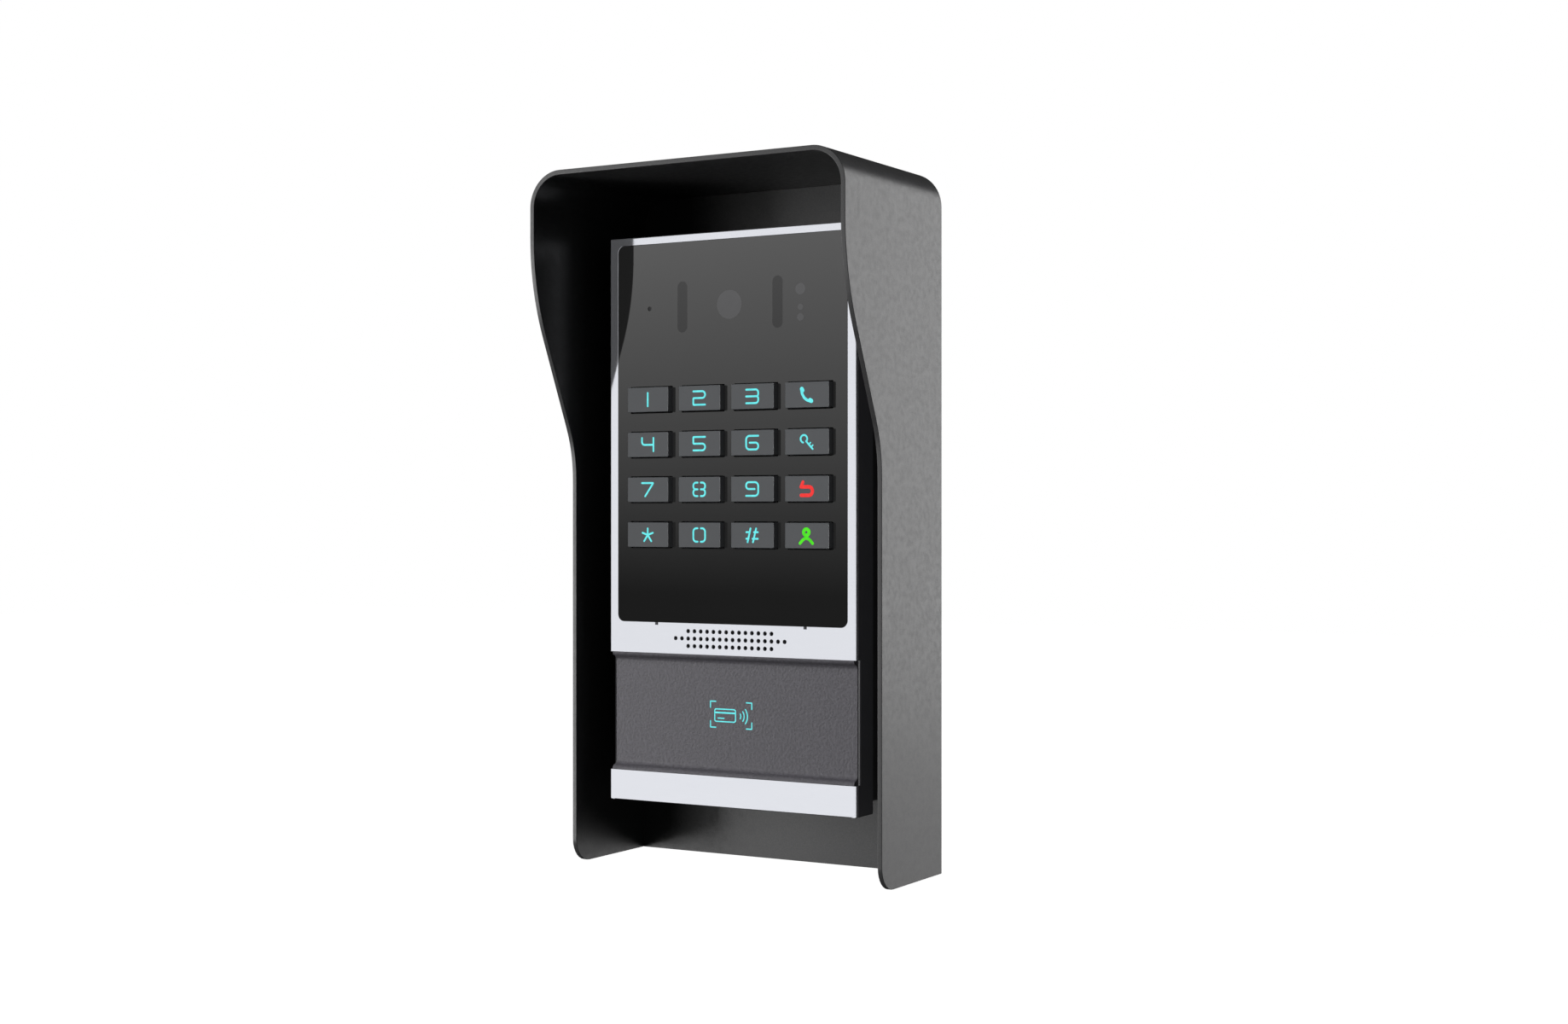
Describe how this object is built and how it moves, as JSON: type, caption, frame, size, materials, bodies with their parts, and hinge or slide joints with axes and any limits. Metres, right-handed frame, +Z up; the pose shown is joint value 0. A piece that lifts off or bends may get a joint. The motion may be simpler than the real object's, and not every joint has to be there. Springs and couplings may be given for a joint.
{
  "type": "door intercom panel",
  "caption": "Wall-mounted door intercom panel with a keypad, camera window, speaker grille and card reader area under a sheet-metal rain hood.",
  "frame": {"origin": "centre of the four wall holes, on the rear face of the hood, at the hood's mid height", "axes": "+X to the visitor's right, +Y into the wall, +Z up"},
  "size_m": [0.15, 0.084, 0.2924],
  "materials": {
    "hood_paint": "fine-texture powder coat, dark grey",
    "zinc_steel": "zinc plated sheet",
    "screw_steel": "zinc plated",
    "black_abs": "satin moulded black",
    "inner_abs": "moulded black",
    "silver_plate": "bright satin anodised",
    "smoked_glass": "tempered, back-printed black",
    "card_abs": "fine leather-grain moulded",
    "key_cap": "satin moulded grey, laser-cut legend",
    "silicone": "translucent grey",
    "black_rubber": "matt",
    "circuit_board": "green solder mask",
    "snap_dome": "pressed stainless",
    "tin_can": "tinned",
    "connector_plastic": "moulded",
    "terminal_green": "moulded green",
    "lens_glass": "coated optical glass",
    "light_acrylic": "frosted acrylic",
    "smoked_acrylic": "smoked acrylic",
    "led_package": "phosphor and white package",
    "mic_can": "pressed",
    "speaker_plastic": "moulded",
    "speaker_paper": "pressed paper",
    "magnet": "plated",
    "steel_mesh": "black woven dust mesh",
    "copper": "etched copper",
    "jack_shell": "nickel plated"
  },
  "bodies": {
    "housing": {"hood_shell": "hood_paint", "hood_back_plate": "hood_paint", "wall_bracket": "zinc_steel", "bracket_screws": "screw_steel", "rear_housing": "inner_abs", "lock_screws": "screw_steel", "case_screws": "screw_steel", "cable_grommet": "black_rubber", "front_cover": "black_abs", "seal_gasket": "black_rubber", "bezel_plate": "silver_plate", "trim_plate": "silver_plate", "glass_window": "smoked_glass", "card_cover": "card_abs", "key_board": "circuit_board", "key_domes": "snap_dome", "keypad_mat": "silicone", "key_board_screws": "screw_steel", "camera_board": "circuit_board", "camera_board_screws": "screw_steel", "camera_barrel": "connector_plastic", "camera_lens": "lens_glass", "fill_leds": "led_package", "light_bar_left": "light_acrylic", "light_bar_right": "light_acrylic", "sensor_lenses": "smoked_acrylic", "microphone": "mic_can", "microphone_boot": "black_rubber", "speaker_frame": "speaker_plastic", "speaker_magnet": "magnet", "speaker_cone": "speaker_paper", "speaker_mesh": "steel_mesh", "card_antenna_board": "circuit_board", "card_antenna_coil": "copper", "card_light_guide": "light_acrylic", "main_board": "circuit_board", "main_board_screws": "screw_steel", "processor_shield": "tin_can", "board_connector": "connector_plastic", "terminal_block": "terminal_green", "terminal_screws": "screw_steel", "network_jack": "jack_shell", "tamper_switch": "connector_plastic"},
    "key_1_cap": {"key_1": "key_cap"},
    "key_2_cap": {"key_2": "key_cap"},
    "key_3_cap": {"key_3": "key_cap"},
    "key_call_cap": {"key_call": "key_cap"},
    "key_4_cap": {"key_4": "key_cap"},
    "key_5_cap": {"key_5": "key_cap"},
    "key_6_cap": {"key_6": "key_cap"},
    "key_unlock_cap": {"key_unlock": "key_cap"},
    "key_7_cap": {"key_7": "key_cap"},
    "key_8_cap": {"key_8": "key_cap"},
    "key_9_cap": {"key_9": "key_cap"},
    "key_back_cap": {"key_back": "key_cap"},
    "key_star_cap": {"key_star": "key_cap"},
    "key_0_cap": {"key_0": "key_cap"},
    "key_hash_cap": {"key_hash": "key_cap"},
    "key_contact_cap": {"key_contact": "key_cap"},
    "tamper_pin": {"tamper_plunger": "connector_plastic"}
  },
  "joints": [
    {"name": "key_1_press", "type": "slide", "parent": "housing", "child": "key_1_cap", "axis": [0, 1, 0], "range_m": [0, 0.001], "stiffness_N_per_m": 1200, "springref_m": -0.0005},
    {"name": "key_2_press", "type": "slide", "parent": "housing", "child": "key_2_cap", "axis": [0, 1, 0], "range_m": [0, 0.001], "stiffness_N_per_m": 1200, "springref_m": -0.0005},
    {"name": "key_3_press", "type": "slide", "parent": "housing", "child": "key_3_cap", "axis": [0, 1, 0], "range_m": [0, 0.001], "stiffness_N_per_m": 1200, "springref_m": -0.0005},
    {"name": "key_call_press", "type": "slide", "parent": "housing", "child": "key_call_cap", "axis": [0, 1, 0], "range_m": [0, 0.001], "stiffness_N_per_m": 1200, "springref_m": -0.0005},
    {"name": "key_4_press", "type": "slide", "parent": "housing", "child": "key_4_cap", "axis": [0, 1, 0], "range_m": [0, 0.001], "stiffness_N_per_m": 1200, "springref_m": -0.0005},
    {"name": "key_5_press", "type": "slide", "parent": "housing", "child": "key_5_cap", "axis": [0, 1, 0], "range_m": [0, 0.001], "stiffness_N_per_m": 1200, "springref_m": -0.0005},
    {"name": "key_6_press", "type": "slide", "parent": "housing", "child": "key_6_cap", "axis": [0, 1, 0], "range_m": [0, 0.001], "stiffness_N_per_m": 1200, "springref_m": -0.0005},
    {"name": "key_unlock_press", "type": "slide", "parent": "housing", "child": "key_unlock_cap", "axis": [0, 1, 0], "range_m": [0, 0.001], "stiffness_N_per_m": 1200, "springref_m": -0.0005},
    {"name": "key_7_press", "type": "slide", "parent": "housing", "child": "key_7_cap", "axis": [0, 1, 0], "range_m": [0, 0.001], "stiffness_N_per_m": 1200, "springref_m": -0.0005},
    {"name": "key_8_press", "type": "slide", "parent": "housing", "child": "key_8_cap", "axis": [0, 1, 0], "range_m": [0, 0.001], "stiffness_N_per_m": 1200, "springref_m": -0.0005},
    {"name": "key_9_press", "type": "slide", "parent": "housing", "child": "key_9_cap", "axis": [0, 1, 0], "range_m": [0, 0.001], "stiffness_N_per_m": 1200, "springref_m": -0.0005},
    {"name": "key_back_press", "type": "slide", "parent": "housing", "child": "key_back_cap", "axis": [0, 1, 0], "range_m": [0, 0.001], "stiffness_N_per_m": 1200, "springref_m": -0.0005},
    {"name": "key_star_press", "type": "slide", "parent": "housing", "child": "key_star_cap", "axis": [0, 1, 0], "range_m": [0, 0.001], "stiffness_N_per_m": 1200, "springref_m": -0.0005},
    {"name": "key_0_press", "type": "slide", "parent": "housing", "child": "key_0_cap", "axis": [0, 1, 0], "range_m": [0, 0.001], "stiffness_N_per_m": 1200, "springref_m": -0.0005},
    {"name": "key_hash_press", "type": "slide", "parent": "housing", "child": "key_hash_cap", "axis": [0, 1, 0], "range_m": [0, 0.001], "stiffness_N_per_m": 1200, "springref_m": -0.0005},
    {"name": "key_contact_press", "type": "slide", "parent": "housing", "child": "key_contact_cap", "axis": [0, 1, 0], "range_m": [0, 0.001], "stiffness_N_per_m": 1200, "springref_m": -0.0005},
    {"name": "tamper_press", "type": "slide", "parent": "housing", "child": "tamper_pin", "axis": [0, -1, 0], "range_m": [0, 0.0015], "stiffness_N_per_m": 300, "springref_m": -0.0008}
  ]
}
